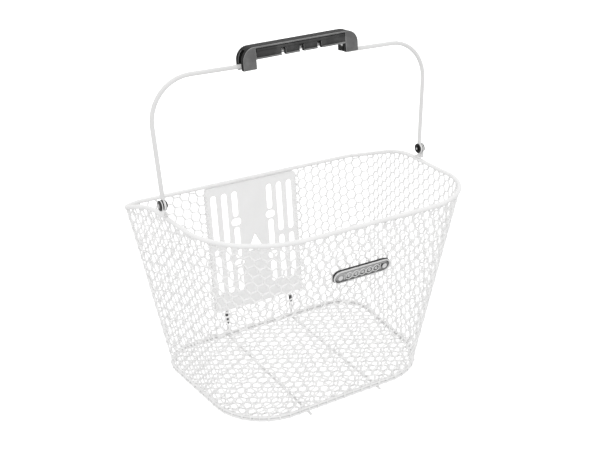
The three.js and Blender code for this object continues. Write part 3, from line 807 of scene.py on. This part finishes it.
def on_badge(points):
    """From the badge's own frame (z up the wall, -y outward) to the basket."""
    y = BASE["front"] - BADGE["height"] * math.sin(FRONT_LEAN)
    z = LOWER_RING_HEIGHT + BADGE["height"] * math.cos(FRONT_LEAN)
    return tilted(points, FRONT_LEAN, (BADGE["x"], y, z))


def on_grip(points):
    """From the grip's own frame (level, z up from the pivots) to the basket."""
    points = np.asarray(points, float)
    middle = (GRIP["top"] + GRIP["bottom"]) / 2
    x, y, z = points[:, 0], points[:, 1], points[:, 2] - middle
    sideways = x * math.cos(GRIP_TILT) - z * math.sin(GRIP_TILT) + GRIP_SHIFT
    upward = x * math.sin(GRIP_TILT) + z * math.cos(GRIP_TILT) + middle
    return tilted(np.column_stack([sideways, y, upward]), -BAIL_LEAN, (0, PIVOT["y"], PIVOT["z"]))


def capsule_slab(half_length, radius, back, front):
    """A slab with two round ends, from y = back to y = front."""
    angle = np.linspace(-math.pi / 2, math.pi / 2, 17)
    right = np.column_stack([half_length - radius + radius * np.cos(angle), radius * np.sin(angle)])
    edge = np.concatenate([right, -right])
    return stacked(np.array([[[x, y, z] for x, z in edge] for y in (back, front)]))


def polygon_loop(x, y, radius, corners, turn=0.0):
    """Corners of a regular polygon that faces along Y."""
    angle = 2 * math.pi * np.arange(corners) / corners + turn
    return np.column_stack([x + radius * np.cos(angle), np.full(corners, y), radius * np.sin(angle)])


def badge_relief():
    """A row of raised hexagons with a bar at each end."""
    tray = BADGE["tray"] - RELIEF["depth"]
    outward = (0, -1, 0)
    parts = []
    for i in range(-2, 3):
        for radius in RELIEF["hexagons"]:
            loop = polygon_loop(i * RELIEF["spacing"], tray, radius, 6, math.pi / 6)
            parts.append(tube(loop, steady(outward, 6), RELIEF["wire"], 6, True))
    for sign in (-1, 1):
        upright = np.linspace(-RELIEF["bar_half"], RELIEF["bar_half"], 5)
        bar = np.column_stack([np.full(5, sign * RELIEF["bar_x"]), np.full(5, tray), upright])
        parts.append(tube(bar, steady(outward, 5), RELIEF["bar_wire"], 6, False))
    return gather(parts)


def badge_pieces():
    """The badge's groove, dark with painted shadow, its dark field and the relief on it."""
    length = BADGE["half_length"] - BADGE["rim"]
    width = BADGE["half_width"] - BADGE["rim"]
    for name, shrink, lift, material in (
        ("badge_groove", 0.05, 0.06, BADGE_GROOVE_SHADOW),
        ("badge_field", 0.85, 0.12, BADGE_FIELD),
    ):
        back, front = BADGE["tray"] + 0.1, BADGE["tray"] - lift
        points, faces = capsule_slab(length - shrink, width - shrink, back, front)
        finish_mesh(name, on_badge(points), faces, material, "basket", "badge_metal")
    points, faces = badge_relief()
    finish_mesh("badge_relief", on_badge(points), faces, BADGE_METAL, "basket", "badge_metal")


badge_pieces()


def box_mesh(low, high):
    """Vertices and quads of an upright box."""
    corners = np.array(list(itertools.product(*zip(low, high))), float)
    faces = np.array([[0, 1, 3, 2], [4, 6, 7, 5], [0, 4, 5, 1], [2, 3, 7, 6], [0, 2, 6, 4], [1, 5, 7, 3]])
    return corners, faces


# How far a panel stays inside its recess at the sides, foot and head and above the notches, how far it
# stands out of the recess's floor, and how thick the near-black layer of painted shade under it is.
PANEL_FIT = dict(side=0.9, foot=0.5, head=0.8, notch=0.6, raised=0.45, groove=0.05)


def grip_panels():
    """Grained panels in the grip's recesses, with painted shade in the groove round each: a near-black layer
    under the panel. The front one is notched.
    """
    underside = GRIP["top"] - GRIP["bar"]
    low, high = underside + GRIP["margin"], GRIP["top"] - GRIP["margin"]
    foot, head = low + PANEL_FIT["foot"], high - PANEL_FIT["head"]
    notch_top = underside + GRIP_NOTCH["height"]
    end = GRIP["half_panel"] - PANEL_FIT["side"]
    stops = [-end]
    for i in (-1, 0, 1):
        middle = i * GRIP_NOTCH["spacing"]
        stops += [middle - GRIP_NOTCH["half_width"], middle + GRIP_NOTCH["half_width"]]
    stops.append(end)
    for sign, side in ((-1, "front"), (1, "back")):
        notched = side == "front"
        floor = sign * GRIP["recess"]
        face = floor + sign * PANEL_FIT["raised"]
        bottom = notch_top + PANEL_FIT["notch"] if notched else foot
        parts = [box_mesh((-end, floor, bottom), (end, face, head))]
        if notched:
            parts += [
                box_mesh((left, floor, foot), (right, face, bottom))
                for left, right in zip(stops[::2], stops[1::2])
            ]
        points, faces = gather(parts)
        finish_mesh(f"grip_panel_{side}", on_grip(points), faces, GRIP_PANEL, "bail", "charcoal_grip")
        groove, faces = box_mesh(
            (-GRIP["half_panel"], floor, notch_top if notched else low),
            (GRIP["half_panel"], floor + sign * PANEL_FIT["groove"], high),
        )
        finish_mesh(f"grip_groove_{side}", on_grip(groove), faces, GRIP_GROOVE_SHADE, "bail", "charcoal_grip")


grip_panels()


def grip_shade_webs():
    """Near-black sheets of painted shade that close the inner sides of the grip's legs below the bar."""
    low, high = GRIP["bottom"] + 0.3, GRIP["top"] - GRIP["bar"]
    for sign, side in ((-1, "left"), (1, "right")):
        near, far = sorted(sign * (GRIP["half_panel"] + away) for away in (0.1, 1.3))
        web, faces = box_mesh((near, -GRIP_CHANNEL / 2, low), (far, GRIP_CHANNEL / 2, high))
        finish_mesh(f"grip_shade_web_{side}", on_grip(web), faces, GRIP_INSIDE_SHADE, "bail", "charcoal_grip")


grip_shade_webs()


def domed_disc(x, sign, radius, height):
    """A low dome about the pivot axis whose flat side is at x and whose top points along sign."""
    angle = 2 * math.pi * np.arange(20) / 20
    profile = ((1.0, 0.0), (0.9, 0.6), (0.55, 0.9), (0.2, 1.0))
    return stacked(np.array([
        np.column_stack([
            np.full(len(angle), x + sign * rise * height),
            PIVOT["y"] + share * radius * np.cos(angle),
            PIVOT["z"] + share * radius * np.sin(angle),
        ])
        for share, rise in profile
    ]))


for side, sign in (("left", -1), ("right", 1)):
    # Painted highlight: a lighter steel dome on the dark bolt head stands for the light centre on its dome.
    head = sign * (PIVOT["x"] + PIVOT["outside"] - 0.1)
    finish_mesh(f"pivot_head_boss_{side}", *domed_disc(head, sign, 2.7, 0.5),
                BRIGHT_STEEL, "basket", "dark_steel")
    tail = sign * (PIVOT["x"] - PIVOT["inside"] + 0.1)
    finish_mesh(f"pivot_tail_{side}", *domed_disc(tail, -sign, 1.5, 0.4),
                BRIGHT_STEEL, "basket", "dark_steel")


# ------------------------------------------------------------------ studio

def area_light(name, place, aim, size, power):
    """A round light at place that shines towards aim."""
    data = bpy.data.lights.new(name, "AREA")
    data.shape = "DISK"
    data.size = size
    data.energy = power
    light = bpy.data.objects.new(name, data)
    light.location = place
    light.rotation_euler = (Vector(aim) - Vector(place)).to_track_quat("-Z", "Y").to_euler()
    bpy.context.scene.collection.objects.link(light)


def sky():
    """Soft white room: bright overhead, dimmer level, grey below, so that white pieces keep their shape."""
    world = bpy.data.worlds.new("studio")
    bpy.context.scene.world = world
    world.use_nodes = True
    nodes, links = world.node_tree.nodes, world.node_tree.links
    direction = nodes.new("ShaderNodeTexCoord")
    parts = nodes.new("ShaderNodeSeparateXYZ")
    ramp = nodes.new("ShaderNodeMapRange")
    ramp.inputs["From Min"].default_value = -1
    ramp.inputs["To Min"].default_value = 0
    shade = nodes.new("ShaderNodeValToRGB")
    levels = ((0.0, SKY_BELOW), (0.5, SKY_LEVEL), (1.0, SKY_ABOVE))
    shade.color_ramp.elements.new(0.5)
    for element, (position, level) in zip(shade.color_ramp.elements, levels):
        element.position = position
        element.color = (level, level, level, 1)
    links.new(direction.outputs["Generated"], parts.inputs[0])
    links.new(parts.outputs["Z"], ramp.inputs["Value"])
    links.new(ramp.outputs["Result"], shade.inputs["Fac"])
    links.new(shade.outputs["Color"], nodes["Background"].inputs["Color"])
    nodes["Background"].inputs["Strength"].default_value = 1.0


def studio():
    """A white room with one soft light, over a white floor that stays out of the basket's own light."""
    bpy.context.scene.view_settings.view_transform = "Standard"
    sky()
    area_light("key", **KEY_LIGHT)

    mesh = bpy.data.meshes.new("floor")
    half = FLOOR["half"]
    corners = [(-half, -half, 0), (half, -half, 0), (half, half, 0), (-half, half, 0)]
    mesh.from_pydata(corners, [], [(0, 1, 2, 3)])
    shader = Shader("floor_white")
    shader.set(Base_Color=grey(FLOOR["level"]))
    shader.surface.inputs["Roughness"].default_value = 1.0
    shader.surface.inputs["Specular IOR Level"].default_value = 0.0
    shader.surface.inputs["Emission Color"].default_value = (1, 1, 1, 1)
    shader.surface.inputs["Emission Strength"].default_value = FLOOR["glow"]
    mesh.materials.append(shader.material)
    floor = bpy.data.objects.new("floor", mesh)
    bpy.context.scene.collection.objects.link(floor)
    floor.visible_diffuse = False
    floor.visible_glossy = False


studio()
